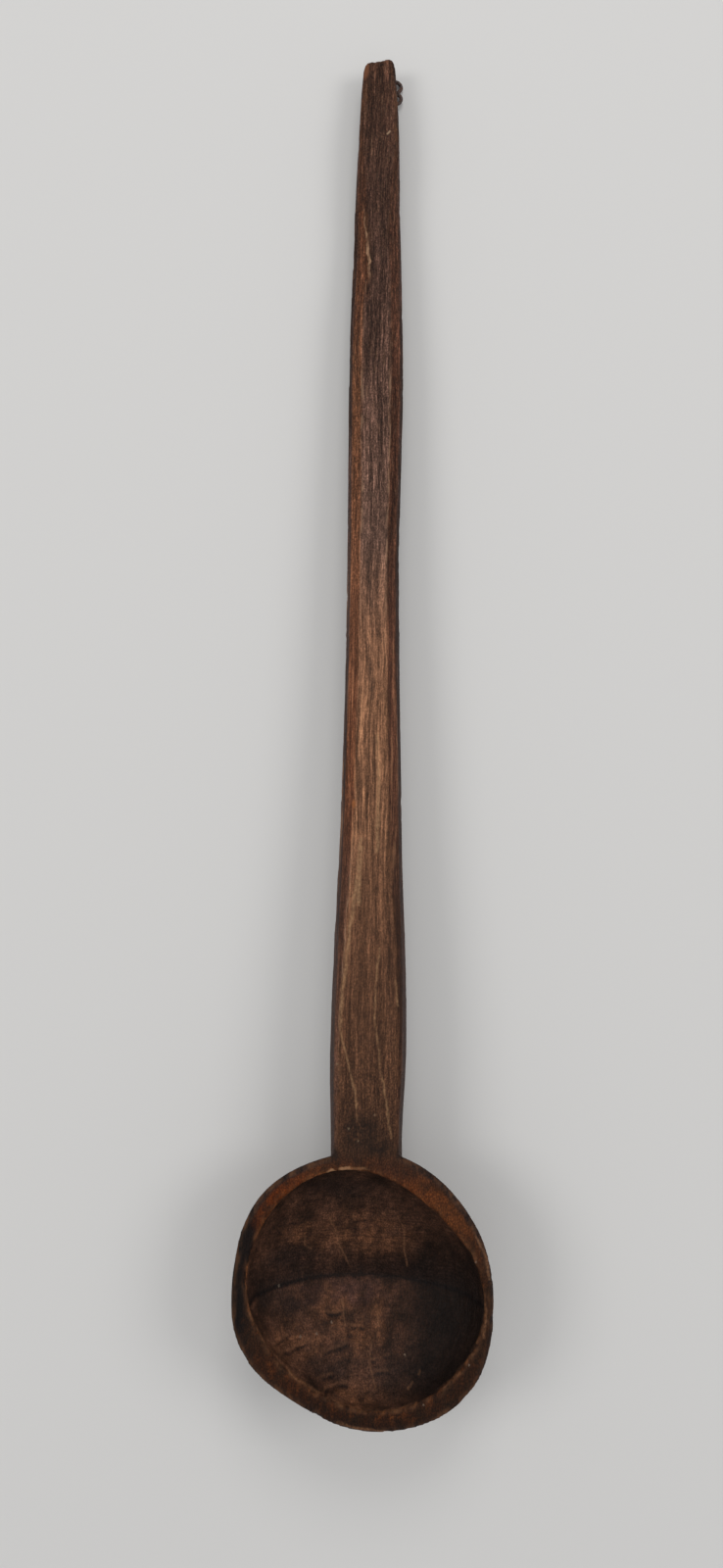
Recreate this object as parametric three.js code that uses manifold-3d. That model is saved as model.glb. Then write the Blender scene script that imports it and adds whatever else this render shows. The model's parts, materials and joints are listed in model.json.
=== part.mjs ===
// A long-handled wooden spoon, carved by hand from one billet, with a bent wire loop to hang it by.
// Millimetres. The finished spoon lies on its back on a table: +Y runs from the bowl to the tip of the
// handle, +X is the right-hand side as seen from above, and +Z is up, out of the open bowl.
// Shapes are made in the spoon's own axes first: the origin is the middle of the bowl's mouth, the rim
// and the front of the handle lie in the plane z = 0, and the belly is below it.
import * as THREE from "three";
import { mergeVertices } from "three/addons/utils/BufferGeometryUtils.js";
import Module from "manifold-3d";

// Bowl
const spoonLength = 678;
const bowlRadius = 61.7;
const rimWidth = 9.2;
const bowlDepth = 47;
const bellyWall = 9;
const bellyFlat = 1.2; // how much the resting flat takes off the belly
const rimEdge = 1.2; // worn edge outside the rim
const mouthEdge = 0.8; // worn edge inside the rim
const bellyTaper = 1.25; // 1 is an ellipse; more leans the outer wall inwards
const creaseTurn = -1.3; // the hollow's valley, in degrees from square across the spoon
const upperValley = 15; // slope of the hollow at the valley, on the handle's side, in degrees
const lowerValley = 22; // the same, on the far side

// Handle, from the neck to the tip
const rootReach = 22; // how far the handle runs into the wall of the bowl
const rootThickness = 30;
const neckWidth = 34;
const neckThickness = 23;
const palmWidth = 36.4;
const palmThickness = 20;
const lowerWidth = 29.2;
const waistWidth = 26;
const waistThickness = 16;
const gripWidth = 27.6;
const gripThickness = 15.5;
const upperWidth = 24;
const upperThickness = 12.8;
const tipShoulderWidth = 20.4;
const tipWidth = 16.6;
const tipThickness = 10;
const tipEndWidth = 14.4;
const tipCorner = 3.5; // length of the rounded corners at the tip
const tipSlant = 7; // the end is cut off at this angle, in degrees
const slantFade = 50; // the sections turn to that angle over this length
const tipBevel = 0.8;
const neckChamfer = 1.5;
const frontChamfer = 4.3;
const tipChamfer = 1.2;
const chamferSlope = 36;
const backChamfer = 3.6;
// The sides are wider behind the front edges than at them, by this much
const palmFlare = 2.4;
const sideFlare = 1.9;
const tipFlare = 0.4;

// Wire loop and its staple
const stapleFromTip = 9.8;
const stapleWire = 2;
const stapleBite = 6.5;
const stapleFit = 0.15; // clearance round each leg in the wood
const loopWire = 2;
const loopReach = 11.4; // from the bar in the staple to the outer side, between wire centres
const loopLength = 12.6; // along the handle, between wire centres
const loopCorner = 3.2;
const loopDent = 1.5;
const loopEnds = 0.8; // gap between the two ends of the wire, under the staple
const runningGap = 0.4;
const tableGap = 0.15;

// Fineness of the surfaces
const outlineSegments = 72;
const bowlRings = 12;
const hollowRings = 12;
const handleSections = 44;
const wireSides = 12;
const stapleSteps = 20;
const loopSteps = 60;
const holeSides = 12;
const mergeTolerance = 1e-4;
const cutterOverlap = 3; // how far a cutter reaches past the face that it cuts

// Hand-cut outlines: each lobe swells by some millimetres towards a direction in degrees
const bowlLobes = [
  { count: 1, swell: 3.0, toward: 86 },
  { count: 2, swell: 2.2, toward: -48 },
  { count: 3, swell: 1.3, toward: -46 },
  { count: 4, swell: 0.6, toward: 39 },
  { count: 5, swell: 0.4, toward: -10 },
  { count: 6, swell: 0.6, toward: 21 },
];
const mouthLobes = [
  { count: 1, swell: 3.4, toward: 83 },
  { count: 2, swell: 3.6, toward: -37 },
  { count: 3, swell: 0.7, toward: -11 },
  { count: 4, swell: 0.9, toward: 6 },
];

const wasm = await Module();
wasm.setup();

const radians = THREE.MathUtils.degToRad;

function lobedRadius(radius, lobes, angle) {
  const swells = lobes.map((lobe) => lobe.swell * Math.cos(lobe.count * (angle - radians(lobe.toward))));
  return swells.reduce((sum, swell) => sum + swell, radius);
}

const bowlOutline = (angle) => lobedRadius(bowlRadius, bowlLobes, angle);
const mouthOutline = (angle) => lobedRadius(bowlRadius - rimWidth, mouthLobes, angle);

// One ring of the outline, with the seam on the valley so that the valley is an edge of the mesh.
function outlineRing(point) {
  return Array.from({ length: outlineSegments }, (_, i) =>
    point(radians(creaseTurn) + (2 * Math.PI * i) / outlineSegments),
  );
}

function polar(radius, angle, z) {
  return new THREE.Vector3(radius * Math.cos(angle), radius * Math.sin(angle), z);
}

function middleOf(ring) {
  const sum = ring.reduce((total, point) => total.add(point), new THREE.Vector3());
  return sum.divideScalar(ring.length);
}

// A closed skin over rings with the same number of points, each turning right-handed about the way
// from the first ring to the last.
function loft(rings, firstMiddle = middleOf(rings[0]), lastMiddle = middleOf(rings.at(-1))) {
  const count = rings[0].length;
  const points = [...rings.flat(), firstMiddle, lastMiddle];
  const first = rings.length * count;
  const top = (rings.length - 1) * count;
  const faces = [];
  for (let j = 0; j < count; j++) {
    const next = (j + 1) % count;
    faces.push(first, next, j);
    for (let low = 0; low < top; low += count) {
      faces.push(low + j, low + next, low + count + next);
      faces.push(low + j, low + count + next, low + count + j);
    }
    faces.push(first + 1, top + j, top + next);
  }
  const geometry = new THREE.BufferGeometry().setFromPoints(points);
  geometry.setIndex(faces);
  return geometry;
}

function solidOf(geometry) {
  const bare = geometry.clone();
  bare.deleteAttribute("normal");
  bare.deleteAttribute("uv");
  const merged = mergeVertices(bare, mergeTolerance);
  const triVerts = new Uint32Array(merged.index.array);
  const vertProperties = merged.attributes.position.array;
  return new wasm.Manifold(new wasm.Mesh({ numProp: 3, vertProperties, triVerts }));
}

function geometryOf(solid) {
  const { vertProperties, triVerts } = solid.getMesh();
  const geometry = new THREE.BufferGeometry();
  geometry.setAttribute("position", new THREE.BufferAttribute(vertProperties, 3));
  geometry.setIndex(new THREE.BufferAttribute(triVerts, 1));
  geometry.computeVertexNormals();
  return geometry;
}

// Outside of the bowl: the rim's outline drawn in towards the belly.
function bowlBlank() {
  const rings = [];
  for (let i = 1; i <= bowlRings; i++) {
    const steep = (Math.PI / 2) * (1 - i / bowlRings);
    const depth = rimEdge + (bowlDepth - rimEdge) * Math.sin(steep) ** bellyTaper;
    rings.push(outlineRing((angle) => polar(bowlOutline(angle) * Math.cos(steep), angle, -depth)));
  }
  rings.push(outlineRing((angle) => polar(bowlOutline(angle) - rimEdge, angle, 0)));
  return loft(rings, new THREE.Vector3(0, 0, -bowlDepth));
}

// What is hollowed out of the bowl: cuts from both ends run down to a valley across the middle.
function hollowCutter() {
  const depth = bowlDepth - bellyWall;
  const reach = bowlRadius - rimWidth;
  const valley = (angle) => {
    const across = Math.sin(angle - radians(creaseTurn));
    const slope = across > 0 ? upperValley : lowerValley;
    return (Math.abs(across) * Math.tan(radians(slope)) * reach) / depth;
  };
  const rings = [];
  for (let i = 1; i <= hollowRings; i++) {
    const steep = (Math.PI / 2) * (1 - i / hollowRings);
    const share = (angle) => Math.sin(steep) - valley(angle) * Math.cos(steep) * Math.sin(steep) ** 2;
    rings.push(
      outlineRing((angle) =>
        polar(mouthOutline(angle) * Math.cos(steep), angle, -mouthEdge - (depth - mouthEdge) * share(angle)),
      ),
    );
  }
  const wider = mouthEdge + cutterOverlap;
  rings.push(outlineRing((angle) => polar(mouthOutline(angle) + wider, angle, cutterOverlap)));
  return loft(rings, new THREE.Vector3(0, 0, -depth));
}

// Where the spoon begins and ends along its own axis.
const bowlEnd = Math.min(...outlineRing((angle) => polar(bowlOutline(angle), angle, 0)).map((p) => p.y));
const neck = bowlOutline(Math.PI / 2);
const slantRise = (Math.tan(radians(tipSlant)) * tipEndWidth) / 2;
const tip = bowlEnd + spoonLength - slantRise;
const handleLength = tip - neck;
const rootStart = -rootReach / handleLength;
const tipStart = 1 - tipCorner / handleLength;
const slantStart = 1 - slantFade / handleLength;
const stapleAt = bowlEnd + spoonLength - stapleFromTip;

// One station of the handle: at is the share of the way from neck to tip, and lean moves it to the right.
function station(at, width, thickness, chamfer, flare, lean) {
  return { at, width, thickness, chamfer, flare, lean };
}

const stations = [
  station(rootStart, neckWidth, rootThickness, neckChamfer, sideFlare, 0.4),
  station(0, neckWidth, neckThickness, neckChamfer, sideFlare, 0.4),
  station(0.08, palmWidth, palmThickness, neckChamfer, palmFlare, 0.6),
  station(0.3, lowerWidth, waistThickness, frontChamfer, sideFlare, 0.5),
  station(0.5, waistWidth, waistThickness, frontChamfer, sideFlare, 0),
  station(0.68, gripWidth, gripThickness, frontChamfer, sideFlare, 0),
  station(0.84, upperWidth, upperThickness, frontChamfer, sideFlare, -0.2),
  station(0.94, tipShoulderWidth, tipThickness, tipChamfer, tipFlare, -0.3),
  station(tipStart, tipWidth, tipThickness, tipChamfer, tipFlare, -0.6),
  station(1, tipEndWidth, tipThickness, tipChamfer, tipFlare, -0.5),
];

// A smooth curve through one value of the stations that never swings past them.
function stationValue(key, at) {
  const last = stations.length - 2;
  const found = stations.findIndex((place) => place.at > at);
  const i = THREE.MathUtils.clamp(found < 0 ? last : found - 1, 0, last);
  const rise = (k) => {
    const [a, b] = [stations[k], stations[k + 1]];
    return a && b ? (b[key] - a[key]) / (b.at - a.at) : 0;
  };
  const slope = (k) => (rise(k - 1) * rise(k) > 0 ? 2 / (1 / rise(k - 1) + 1 / rise(k)) : 0);
  const span = stations[i + 1].at - stations[i].at;
  const t = (at - stations[i].at) / span;
  const [from, to] = [stations[i][key], stations[i + 1][key]];
  const [leave, arrive] = [slope(i) * span, slope(i + 1) * span];
  const ease = t * t * (3 - 2 * t);
  return from + (to - from) * ease + leave * t * (1 - t) ** 2 - arrive * t * t * (1 - t);
}

// The handle's section: a front flat between two knife-cut chamfers, sides that flare, a flat back.
function handleSection(at) {
  const keys = ["width", "thickness", "chamfer", "flare", "lean"];
  const [width, thickness, chamfer, flare, lean] = keys.map((key) => stationValue(key, at));
  const half = width / 2;
  const drop = chamfer * Math.tan(radians(chamferSlope));
  const rightSide = [
    [half - flare - chamfer, 0],
    [half - flare, drop],
    [half, (drop + thickness - backChamfer) / 2],
    [half - flare / 2, thickness - backChamfer],
    [half - backChamfer, thickness],
  ];
  const leftSide = rightSide.map(([x, depth]) => [-x, depth]).reverse();
  const slant = THREE.MathUtils.smoothstep(at, slantStart, 1) * Math.tan(radians(tipSlant));
  return [...rightSide, ...leftSide].map(
    ([x, depth]) => new THREE.Vector3(x + lean, neck + at * handleLength + slant * x, -depth),
  );
}

function drawnIn(ring, inset, forward) {
  const middle = middleOf(ring);
  return ring.map((point) => {
    const inwards = middle.clone().sub(point).setY(0).setLength(inset);
    return point.clone().add(inwards).setY(point.y + forward);
  });
}

function handleBlank() {
  const start = stations[0].at;
  const step = (tipStart - start) / handleSections;
  const places = Array.from({ length: handleSections }, (_, i) => start + step * i);
  const rings = [...places, tipStart, (tipStart + 1) / 2].map(handleSection);
  const end = handleSection(1);
  rings.push(drawnIn(end, 0, -tipBevel), drawnIn(end, tipBevel, 0));
  return loft(rings);
}

// The staple's arch goes round the loop's bar, whose middle is the loop's hinge.
const barDepth = tipThickness + runningGap + loopWire / 2;
const archRadius = loopWire / 2 + runningGap + stapleWire / 2;
const crownDepth = barDepth + archRadius + stapleWire / 2;

// The table's plane touches the belly's flat and the staple's crown, so the spoon lies tilted on it.
const layDown = Math.atan2(bowlDepth - bellyFlat - crownDepth, stapleAt);
const barHeight = archRadius + stapleWire / 2;
const cornerDrop = (loopLength / 2) * Math.sin(layDown);
const droop = Math.asin((barHeight - loopWire / 2 - cornerDrop - tableGap) / loopReach);

function tableSlab() {
  const size = 2 * bowlRadius;
  const slab = new THREE.BoxGeometry(size, size, size);
  slab.translate(0, 0, -size / 2);
  slab.rotateX(layDown);
  slab.translate(0, 0, bellyFlat - bowlDepth);
  return slab;
}

function legHole(side) {
  const length = stapleBite + stapleFit + cutterOverlap;
  const radius = stapleWire / 2 + stapleFit;
  const hole = new THREE.CylinderGeometry(radius, radius, length, holeSides);
  hole.rotateX(Math.PI / 2);
  hole.translate(side * archRadius, stapleAt, length / 2 - tipThickness - cutterOverlap);
  return hole;
}

function carvedSpoon() {
  const blank = solidOf(bowlBlank()).add(solidOf(handleBlank()));
  const cuts = [hollowCutter(), tableSlab(), legHole(-1), legHole(1)];
  return geometryOf(cuts.reduce((wood, cut) => wood.subtract(solidOf(cut)), blank));
}

// A round wire along a flat path drawn in the plane of x and y.
function bentWire(path, diameter, steps) {
  const points = path.getSpacedPoints(steps).map((point) => new THREE.Vector3(point.x, point.y, 0));
  const section = new THREE.Shape().absarc(0, 0, diameter / 2, 0, 2 * Math.PI);
  return new THREE.ExtrudeGeometry(section, {
    steps,
    curveSegments: wireSides / 2,
    extrudePath: new THREE.CatmullRomCurve3(points),
  });
}

function looseStaple() {
  const leg = stapleBite + barDepth - tipThickness;
  const path = new THREE.Path();
  path.moveTo(-archRadius, leg);
  path.lineTo(-archRadius, 0);
  path.absarc(0, 0, archRadius, Math.PI, 2 * Math.PI);
  path.lineTo(archRadius, leg);
  return bentWire(path, stapleWire, stapleSteps).rotateX(Math.PI / 2);
}

// The loop is one length of wire whose ends meet in the bar, under the staple.
function wireLoop() {
  const half = loopLength / 2;
  const inner = half - loopCorner;
  const far = loopReach - loopCorner;
  const path = new THREE.Path();
  path.moveTo(0, loopEnds / 2);
  path.lineTo(0, inner);
  path.absarc(loopCorner, inner, loopCorner, Math.PI, Math.PI / 2, true);
  path.lineTo(far, half);
  path.absarc(far, inner, loopCorner, Math.PI / 2, 0, true);
  path.bezierCurveTo(loopReach, inner / 2, loopReach - loopDent, inner / 2, loopReach - loopDent, 0);
  path.bezierCurveTo(loopReach - loopDent, -inner / 2, loopReach, -inner / 2, loopReach, -inner);
  path.absarc(far, -inner, loopCorner, 0, -Math.PI / 2, true);
  path.lineTo(loopCorner, -half);
  path.absarc(loopCorner, -inner, loopCorner, -Math.PI / 2, -Math.PI, true);
  path.lineTo(0, -loopEnds / 2);
  return bentWire(path, loopWire, loopSteps);
}

const wood = new THREE.MeshStandardMaterial({ color: 0x5b3a26, roughness: 0.72, metalness: 0 });
const iron = new THREE.MeshStandardMaterial({ color: 0x3b3434, roughness: 0.6, metalness: 0.8 });

function node(name, geometry, material) {
  const mesh = new THREE.Mesh(geometry, material);
  mesh.name = name;
  return mesh;
}

const staple = node("loop_staple", looseStaple(), iron);
staple.position.set(0, stapleAt, -barDepth);

const loopHinge = new THREE.Group();
loopHinge.position.copy(staple.position);
loopHinge.rotation.y = droop;
loopHinge.add(node("hanging_loop", wireLoop(), iron));

const spoon = new THREE.Group();
spoon.rotation.x = -layDown;
spoon.add(node("carved_spoon", carvedSpoon(), wood), staple, loopHinge);

// The origin is under the middle of the part, on the table.
const part = new THREE.Group();
part.add(spoon);
part.updateMatrixWorld(true);
const box = new THREE.Box3().setFromObject(part, true);
const middle = box.getCenter(new THREE.Vector3());
spoon.position.set(-middle.x, -middle.y, -box.min.z);

export default part;
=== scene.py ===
import json
import math
from functools import reduce

import bmesh
import bpy
from mathutils import Matrix, Vector


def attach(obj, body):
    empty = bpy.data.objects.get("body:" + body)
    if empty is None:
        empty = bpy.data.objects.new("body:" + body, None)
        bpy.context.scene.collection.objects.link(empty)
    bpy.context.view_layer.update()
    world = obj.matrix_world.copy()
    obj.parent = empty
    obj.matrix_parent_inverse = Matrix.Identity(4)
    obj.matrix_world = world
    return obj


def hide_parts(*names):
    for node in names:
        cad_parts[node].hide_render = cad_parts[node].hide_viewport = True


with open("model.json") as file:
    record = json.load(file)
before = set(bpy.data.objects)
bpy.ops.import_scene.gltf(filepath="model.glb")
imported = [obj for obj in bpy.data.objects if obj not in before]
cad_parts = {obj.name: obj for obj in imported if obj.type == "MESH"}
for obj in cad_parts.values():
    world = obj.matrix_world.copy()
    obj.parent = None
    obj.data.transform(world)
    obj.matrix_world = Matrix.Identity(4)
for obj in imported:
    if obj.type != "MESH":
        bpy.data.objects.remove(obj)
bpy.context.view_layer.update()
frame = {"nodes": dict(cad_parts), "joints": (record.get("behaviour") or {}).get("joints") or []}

# The spoon lies tilted on the floor. Its own axes start in the middle of the bowl's mouth, on the front
# plane: x to the right, y towards the tip, z out of the bowl, in millimetres. The loop's hinge ties them
# to the frame.
MILLIMETRE = 0.001
LOOP_HINGE = Vector((0, 609.67, -11.4))
hinge = frame["joints"][0]
LAY_DOWN = math.atan2(-hinge["axis"][2], hinge["axis"][1])
LAID_DOWN = Matrix.Rotation(-LAY_DOWN, 4, "X") @ Matrix.Scale(MILLIMETRE, 4)
MOUTH_MIDDLE = Vector(hinge["pos_m"]) - LAID_DOWN @ LOOP_HINGE
TO_FRAME = Matrix.Translation(MOUTH_MIDDLE) @ LAID_DOWN

# Fineness of the meshes, in metres
SKIN_VOXEL = 1.05 * MILLIMETRE
JOIN_DISTANCE = 1e-6

# How large the tool marks are along x, y and z
HANDLE_SWAY = (28, 75, 28)
KNIFE_CUT = (10, 62, 10)
ADZE_CUT = (17, 24, 17)
GOUGE_CUT = (9, 13, 9)

# Where the smooth lower handle gives way to the rough upper handle, along y
ROUGH_HANDLE = (300, 400)

# The scar where a splinter came off. At its foot and its top it goes from none to full along y, and its edge
# runs from the first place to the second.
SCAR_FOOT = (478, 506)
SCAR_TOP = (539, 534)
SCAR_EDGE_Y = (500, 540)
SCAR_EDGE_X = (-4.2, -7.6)

# Patches, each with a middle (x, y), then half its width and height
SCRAPED_BOWL = [
    ((7, -18), (4, 10)), ((-14, -12), (10, 7)), ((-11, -20), (5, 6)), ((2, 21), (24, 10)),
    ((-35, -22), (7, 5)), ((-31, 22), (8, 5)), ((-26, -28), (10, 5)), ((-8, -46), (13, 4)),
    ((-3, -25), (8, 6)),
]
# Dark patches in the bowl: stains, and painted shade below the valley on the left, under the neck and at the
# lower right
STAINED_AND_SHADED_BOWL = [
    ((16, -36.5), (12, 7)), ((-15, -37), (8, 3.5)), ((-24, -33), (5, 2.5)), ((-11, -29), (6, 2)),
    ((-33, -9.5), (9, 4)), ((-44, -5), (9, 4)), ((-36, 11), (12, 5)), ((-14, 46), (22, 6)),
]
GRIMY_NECK = [((-2, 74), (8, 8)), ((6, 67), (7, 4))]
GRIMY_CORNERS = [((-15, 64), (3, 3)), ((16, 65), (3, 3))]
CHIPPED_MOUTH = [((-9, 57), (3, 1.3)), ((-15.5, 56), (2.2, 1))]

# Single marks, each a run of places (x, y)
RUBBED_ARRIS = [
    [(-4, 207), (-4.5, 190), (-5, 180)],
    [(-4.5, 212), (-5.5, 196), (-7, 182), (-8.5, 171), (-10.5, 152), (-12, 136), (-13, 122)],
    [(3, 262), (4, 232), (3.5, 205)],
]
PALE_HANDLE_LINES = [
    [(-13, 122), (-11.5, 115), (-9.5, 110), (-7.5, 101), (-5.5, 93), (-4.5, 87), (-4, 80)],
    [(5, 159), (4, 141), (3.5, 129), (5, 115), (6.5, 103), (9, 89), (12, 72)],
    [(13, 145), (14.5, 132)],
]
DARK_HANDLE_STREAKS = [
    [(-4, 362), (-2.5, 345), (-0.5, 326)],
    [(-2, 306), (-0.5, 292), (1, 280)],
    [(-6, 190), (-5, 182)],
]
PALE_TIP_FLECK = [(4.1, 576.9), (5.3, 578.3)]
PALE_BOWL_EDGES = [
    [(-52, -7.5), (-46, -18), (-38, -28), (-29, -36), (-20, -41.5)],
    [(-11, -54), (-3, -56.5), (5, -57.5), (11.5, -57.5)],
    [(54.5, 4), (56, -4.5), (55.5, -16.5)],
    [(50, 32), (56.5, 18), (58, 9)],
]
PALE_BOWL_SCRATCHES = [
    [(-17, 29.5), (-13.5, 22), (-12, 15), (-6, 3)],
    [(15.5, 31.5), (19.5, 25), (19.5, 14.5), (21.5, 5.5)],
    [(-5.5, 32), (-5, 28.5)],
    [(-29, 21), (-28.5, 16), (-26, 13.5)],
    [(-12, -5), (-10, -12), (-8.5, -21)],
    [(6.5, -11.5), (7.5, -18.5), (8, -24.5), (4, -27), (3.5, -31), (4, -36), (6.5, -44.5)],
    [(21, -43), (23, -41)],
    [(26, -38), (26.5, -36.5)],
]
GOUGE_STROKES = [
    [(-40, -24.5), (-37.5, -24), (-35, -23)],
    [(-37, -28.5), (-32.5, -28.5), (-26.5, -27)],
    [(-20.5, -39.5), (-13.5, -39.5)],
    [(-17, -43), (-13, -43.5), (-7, -43)],
    [(-19, -32), (-12.5, -30), (-7.5, -28.5)],
    [(-17.5, -15.5), (-14, -16.5), (-11, -16.5)],
    [(-7, -22), (0, -22)],
    [(4.5, -34.5), (13, -33)],
    [(6, -39.5), (12.5, -39)],
]
FINE_BOWL_CUTS = [
    [(-40.5, 27), (-34.5, 27.5), (-29, 27.5)],
    [(-8.5, 20), (2.5, 19.5), (13.5, 19.5)],
    [(-5.5, 27.5), (4, 28)],
    [(-43, 27), (-39, 21.5)],
]

# Small pale specks, each a place (x, y)
PALE_HANDLE_SPECKS = [(-14, 105), (-3.5, 70), (-8, 75.5), (4, 82)]
PALE_BOWL_SPECKS = [
    (-40.5, -2), (20, -31.5), (28, -46), (-29.5, -23.5), (-15, -19), (-22, -23), (48.5, -28.5), (51.5, 16.5),
]

# Where the camera stands in the spoon's own axes, how it is turned, its lens in pixels of the picture, and
# how far it sees in metres
CAMERA_PLACE = Vector((-3.4, 169.1, 565))
CAMERA_TILT = math.radians(6.92)
CAMERA_ROLL = math.radians(0.84)
PICTURE_HEIGHT = 1600
PICTURE_LENS = 1202
CAMERA_REACH = 20.0

# The studio, in metres and watts. Each lamp has a place and a power, and the floor pales from the first
# distance to the second.
LAMP_SIZE = 1.2
LAMPS = {"right": ((1.8, 0.2, 1.8), 14), "top": ((0.1, 1.9, 1.8), 16), "left": ((-1.8, 0.0, 1.9), 16)}
SKY_COLOUR = (0.95, 0.97, 1.0, 1)
SKY_STRENGTH = 0.55
FLOOR_REACH = 14.0
FLOOR_DROP = 0.0003
FLOOR_PALES = (1.2, 6.0)


def tone(red, green, blue):
    """A colour as it looks on screen, 0 to 255, as the light values that the nodes take."""
    def linear(value):
        share = value / 255
        return share / 12.92 if share <= 0.04045 else ((share + 0.055) / 1.055) ** 2.4

    return (linear(red), linear(green), linear(blue), 1.0)


GRIME = tone(26, 18, 14)
WOOD_SHEEN = 0.1


class Bench:
    """Adds nodes to one tree. A value that is a socket is linked, and any other value is set."""

    def __init__(self, tree):
        self.tree = tree

    def put(self, value, socket):
        if isinstance(value, bpy.types.NodeSocket):
            self.tree.links.new(value, socket)
        else:
            socket.default_value = value

    def add(self, kind, inputs=None, **settings):
        node = self.tree.nodes.new(kind)
        for name, value in settings.items():
            setattr(node, name, value)
        for name, value in (inputs or {}).items():
            self.put(value, node.inputs[name])
        return node

    def calc(self, operation, *values):
        return self.add("ShaderNodeMath", dict(enumerate(values)), operation=operation).outputs[0]

    def folded(self, operation, values):
        return reduce(lambda first, second: self.calc(operation, first, second), values)

    def product(self, *values):
        return self.folded("MULTIPLY", values)

    def total(self, *values):
        return self.folded("ADD", values)

    def most(self, *values):
        return self.folded("MAXIMUM", values)

    def least(self, *values):
        return self.folded("MINIMUM", values)

    def ramp(self, value, slope, start):
        """The start plus the slope times the value."""
        return self.calc("MULTIPLY_ADD", value, slope, start)

    def size_of(self, value):
        return self.calc("ABSOLUTE", value)

    def clamped(self, value):
        return self.add("ShaderNodeClamp", {"Value": value}).outputs[0]

    def vector(self, operation, *values):
        node = self.add("ShaderNodeVectorMath", dict(enumerate(values)), operation=operation)
        return node.outputs["Value" if operation in ("DOT_PRODUCT", "LENGTH") else "Vector"]

    def scaled(self, vector, factor):
        node = self.add("ShaderNodeVectorMath", {0: vector, "Scale": factor}, operation="SCALE")
        return node.outputs["Vector"]

    def flattened(self, vector):
        """The place with its z made 0."""
        return self.vector("MULTIPLY", vector, (1, 1, 0))

    def parts(self, vector):
        return self.add("ShaderNodeSeparateXYZ", {0: vector}).outputs[:3]

    def fade(self, value, start, end, low=0.0, high=1.0):
        """Goes softly from low, where the value is at the start, to high, where it is at the end."""
        inputs = {"Value": value, "From Min": start, "From Max": end, "To Min": low, "To Max": high}
        return self.add("ShaderNodeMapRange", inputs, interpolation_type="SMOOTHSTEP").outputs[0]

    def between(self, value, start, end, soft):
        rise = self.fade(value, start - soft, start + soft)
        return self.product(rise, self.fade(value, end + soft, end - soft))

    def noise(self, vector, size, detail=2.0, roughness=0.5):
        """Noise from 0 to 1 whose features are about as large as size, in the units of the vector."""
        place = self.vector("DIVIDE", vector, size)
        inputs = {"Vector": place, "Scale": 1.0, "Detail": detail, "Roughness": roughness}
        return self.add("ShaderNodeTexNoise", inputs, noise_dimensions="3D").outputs[0]

    def cells(self, vector, size):
        """How far a place is from the middle of its cell, with the walls between cells rounded."""
        inputs = {"Vector": self.vector("DIVIDE", vector, size), "Scale": 1.0, "Smoothness": 0.25}
        return self.add("ShaderNodeTexVoronoi", inputs, feature="SMOOTH_F1").outputs["Distance"]

    def blend(self, factor, first, second, kind="MIX"):
        node = self.add("ShaderNodeMix", data_type="RGBA", blend_type=kind)
        for place, value in ((0, factor), (6, first), (7, second)):
            self.put(value, node.inputs[place])
        return node.outputs[2]

    def tinted(self, colour, factor):
        """The colour made lighter or darker by a factor."""
        grey = self.add("ShaderNodeCombineColor", {0: factor, 1: factor, 2: factor}).outputs[0]
        return self.blend(1.0, colour, grey, "MULTIPLY")

    def wandering(self, vector, size, reach):
        """The place moved about by up to half the reach."""
        place = self.vector("DIVIDE", vector, size)
        noise = self.add("ShaderNodeTexNoise", {"Vector": place, "Scale": 1.0, "Detail": 2.0})
        moved = self.vector("SUBTRACT", noise.outputs["Color"], (0.5, 0.5, 0.5))
        return self.vector("ADD", vector, self.scaled(moved, reach))

    def far_from(self, flat, points):
        """How far a place whose z is 0 is from a line through points."""
        lengths = []
        for first, last in zip(points, points[1:]):
            start = Vector((*first, 0))
            run = Vector((*last, 0)) - start
            gone = self.vector("SUBTRACT", flat, start)
            share = self.clamped(self.vector("DOT_PRODUCT", gone, run / run.length_squared))
            lengths.append(self.vector("LENGTH", self.vector("SUBTRACT", gone, self.scaled(run, share))))
        return self.least(*lengths)

    def spot(self, flat, middle, size, soft=0.3):
        """An oval patch, on a place whose z is 0."""
        away = self.vector("DIVIDE", self.vector("SUBTRACT", flat, (*middle, 0)), (*size, 1))
        return self.fade(self.vector("LENGTH", away), 1 + soft, 1 - soft)

    def spots(self, flat, patches, soft):
        return self.most(*[self.spot(flat, middle, size, soft) for middle, size in patches])

    def group(self, tree, **inputs):
        node = self.add("ShaderNodeGroup", node_tree=tree)
        for name, value in inputs.items():
            self.put(value, node.inputs[name])
        return node.outputs


# Patterns of wear and of single marks

def splinter_scar(bench, place):
    """Whether a place is between the scar's two ends, 0 to 1, and how far right of the scar's edge it is."""
    x, y, _ = bench.parts(place)
    ragged = bench.calc("SUBTRACT", bench.noise(place, (40, 5, 40), 3), 0.5)
    edge = bench.fade(y, *SCAR_EDGE_Y, *SCAR_EDGE_X)
    beside = bench.calc("SUBTRACT", x, bench.ramp(ragged, 2.4, edge))
    return bench.product(bench.fade(y, *SCAR_FOOT), bench.fade(y, *SCAR_TOP)), beside


def chip_pattern(bench, place):
    """Where worn edges have lost small chips."""
    return bench.fade(bench.noise(place, (9, 12, 9), 3, 0.6), 0.52, 0.66)


def crack_pattern(bench, place):
    """Long narrow splits where the grain has opened."""
    wave = bench.calc("SUBTRACT", bench.noise(place, (2.6, 70, 2.6), 1.5), 0.5)
    open_here = bench.fade(bench.noise(place, (6, 22, 6), 2), 0.4, 0.6)
    return bench.product(bench.fade(bench.size_of(wave), 0.035, 0.0), open_here)


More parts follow.
